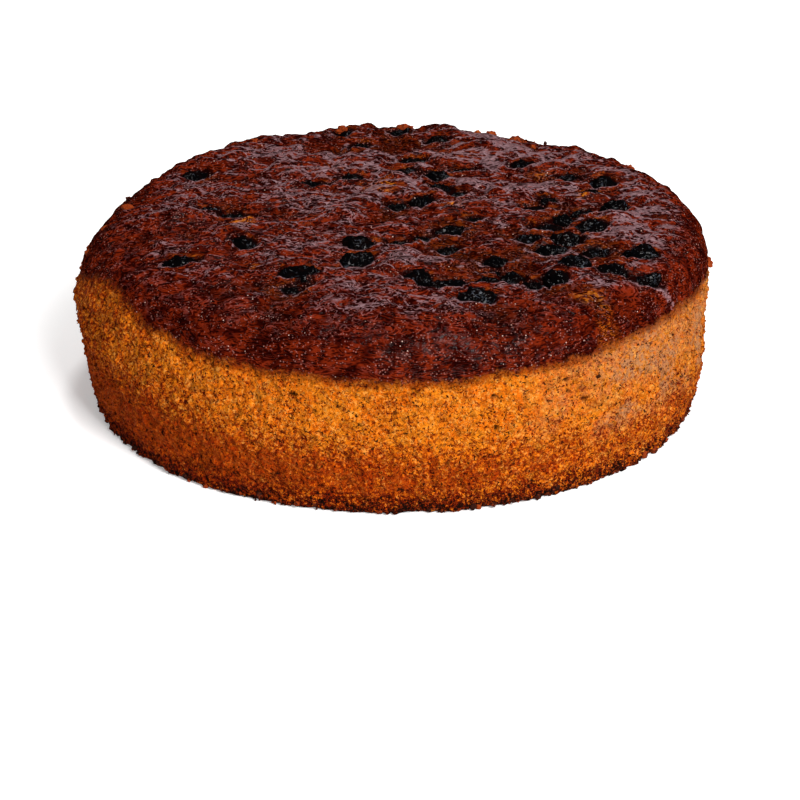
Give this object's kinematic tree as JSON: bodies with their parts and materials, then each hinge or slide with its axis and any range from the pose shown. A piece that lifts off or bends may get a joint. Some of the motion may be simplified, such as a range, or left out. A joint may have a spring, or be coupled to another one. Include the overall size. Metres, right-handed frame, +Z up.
{
  "type": "carrot cake",
  "caption": "Whole round single-layer carrot cake with a dark, lumpy baked crust, raisins set in its crust and an uncut wall of coarse orange crumb.",
  "frame": {"origin": "centre of the cake's flat base, on the surface that it stands on", "axes": "+Z up; +X to the right and -Y towards the viewer of the side with most raisins at its right"},
  "size_m": [0.2296, 0.2272, 0.0713],
  "materials": {
    "crumb": "coarse, matt, slightly moist orange-brown crumb; matte plastic stands in for baked crumb",
    "crust": "dark mahogany baked crust with a soft, sticky gloss; gloss plastic stands in for baked crust",
    "raisin": "near-black wrinkled skin with a sticky gloss; gloss plastic stands in for dried fruit"
  },
  "bodies": {
    "root": {"cake": "crumb", "raisin_01": "raisin", "raisin_02": "raisin", "raisin_03": "raisin", "raisin_04": "raisin", "raisin_05": "raisin", "raisin_06": "raisin", "raisin_07": "raisin", "raisin_08": "raisin", "raisin_09": "raisin", "raisin_10": "raisin", "raisin_11": "raisin", "raisin_12": "raisin", "raisin_13": "raisin", "raisin_14": "raisin", "raisin_15": "raisin", "raisin_16": "raisin", "raisin_17": "raisin", "raisin_18": "raisin", "raisin_19": "raisin", "raisin_20": "raisin", "raisin_21": "raisin", "raisin_22": "raisin", "raisin_23": "raisin", "raisin_24": "raisin", "raisin_25": "raisin", "raisin_26": "raisin", "raisin_27": "raisin", "raisin_28": "raisin", "raisin_29": "raisin", "raisin_30": "raisin", "raisin_31": "raisin", "raisin_32": "raisin", "raisin_33": "raisin", "raisin_34": "raisin", "raisin_35": "raisin", "raisin_36": "raisin", "raisin_37": "raisin", "raisin_38": "raisin", "raisin_39": "raisin", "raisin_40": "raisin", "raisin_41": "raisin", "raisin_42": "raisin", "raisin_43": "raisin", "raisin_44": "raisin", "raisin_45": "raisin", "raisin_46": "raisin", "raisin_47": "raisin", "raisin_48": "raisin", "raisin_49": "raisin", "raisin_50": "raisin", "raisin_51": "raisin", "raisin_52": "raisin", "raisin_53": "raisin", "raisin_54": "raisin", "raisin_55": "raisin", "raisin_56": "raisin"}
  },
  "joints": []
}
